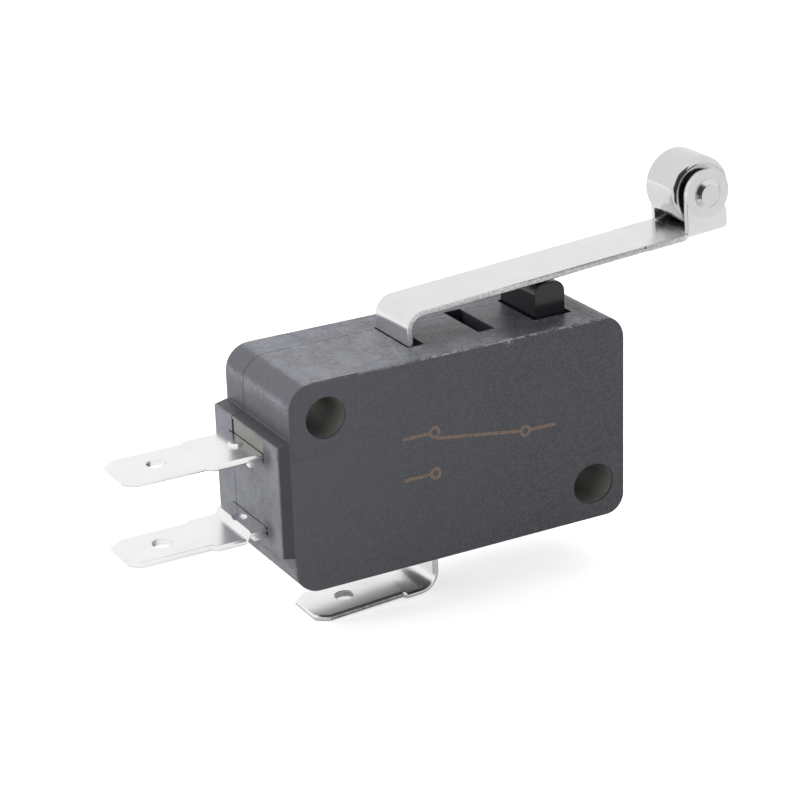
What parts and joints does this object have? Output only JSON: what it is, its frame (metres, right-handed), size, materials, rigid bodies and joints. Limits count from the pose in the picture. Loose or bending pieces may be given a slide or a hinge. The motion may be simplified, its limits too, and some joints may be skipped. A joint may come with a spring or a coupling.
{
  "type": "micro switch",
  "caption": "Snap-action micro switch with a roller lever, a two-piece moulded case, end and bottom tab terminals and the snap mechanism inside.",
  "frame": {"origin": "on the axis of the round mounting hole, half way through the thickness of the case", "axes": "+X from the end terminals towards the plunger and roller, +Y to the back of the case, +Z from the common terminal towards the lever"},
  "size_m": [0.051, 0.0104, 0.0296],
  "materials": {
    "case_plastic": "fine-textured dark grey thermoplastic",
    "cover_plastic": "fine-textured dark grey thermoplastic",
    "tinned_strip": "bright tin-plated brass strip",
    "contact_silver": "silver alloy",
    "copper_alloy": "bare copper alloy",
    "spring_steel": "drawn stainless steel",
    "plunger_plastic": "smooth black thermoplastic",
    "lever_steel": "satin stainless sheet",
    "pin_steel": "turned and riveted steel",
    "roller_steel": "polished steel"
  },
  "bodies": {
    "root": {"front_case": "case_plastic", "rear_cover": "cover_plastic", "nc_terminal": "tinned_strip", "no_terminal": "tinned_strip", "com_terminal": "tinned_strip", "nc_contact": "contact_silver", "no_contact": "contact_silver"},
    "lever": {"actuator_lever": "lever_steel", "roller_pin": "pin_steel"},
    "roller_wheel": {"roller": "roller_steel"},
    "button": {"plunger": "plunger_plastic"},
    "drive": {"drive_lever": "spring_steel"},
    "changeover": {"contact_lever": "copper_alloy", "moving_contact": "contact_silver", "tension_spring": "spring_steel"}
  },
  "joints": [
    {"name": "lever_hinge", "type": "hinge", "parent": "root", "child": "lever", "pos_m": [0.00833, 0, 0.002], "axis": [0, 1, 0], "range_deg": [0, 6.5], "stiffness_Nm_per_rad": 0.08, "springref_deg": -5.73},
    {"name": "plunger_slide", "type": "slide", "parent": "root", "child": "button", "axis": [0, 0, -1], "range_m": [0, 0.00135]},
    {"name": "drive_swing", "type": "hinge", "parent": "root", "child": "drive", "pos_m": [0.01438, 0, -0.00407], "axis": [0, 1, 0], "range_deg": [0, 14.3]},
    {"name": "contact_swing", "type": "hinge", "parent": "root", "child": "changeover", "pos_m": [0.01422, 0, -0.00487], "axis": [0, -1, 0], "range_deg": [0, 4.7], "deforming": ["tension_spring"]},
    {"name": "roller_spin", "type": "hinge", "parent": "lever", "child": "roller_wheel", "pos_m": [0.03415, 0, 0.00971], "axis": [0, 1, 0], "continuous": true}
  ],
  "couplings": [
    {"joint": "plunger_slide", "follows": "lever_hinge", "m_per_rad": 0.01178},
    {"joint": "drive_swing", "follows": "lever_hinge", "ratio": 2.1846},
    {"joint": "contact_swing", "follows": "lever_hinge", "ratio": 0.70769}
  ]
}
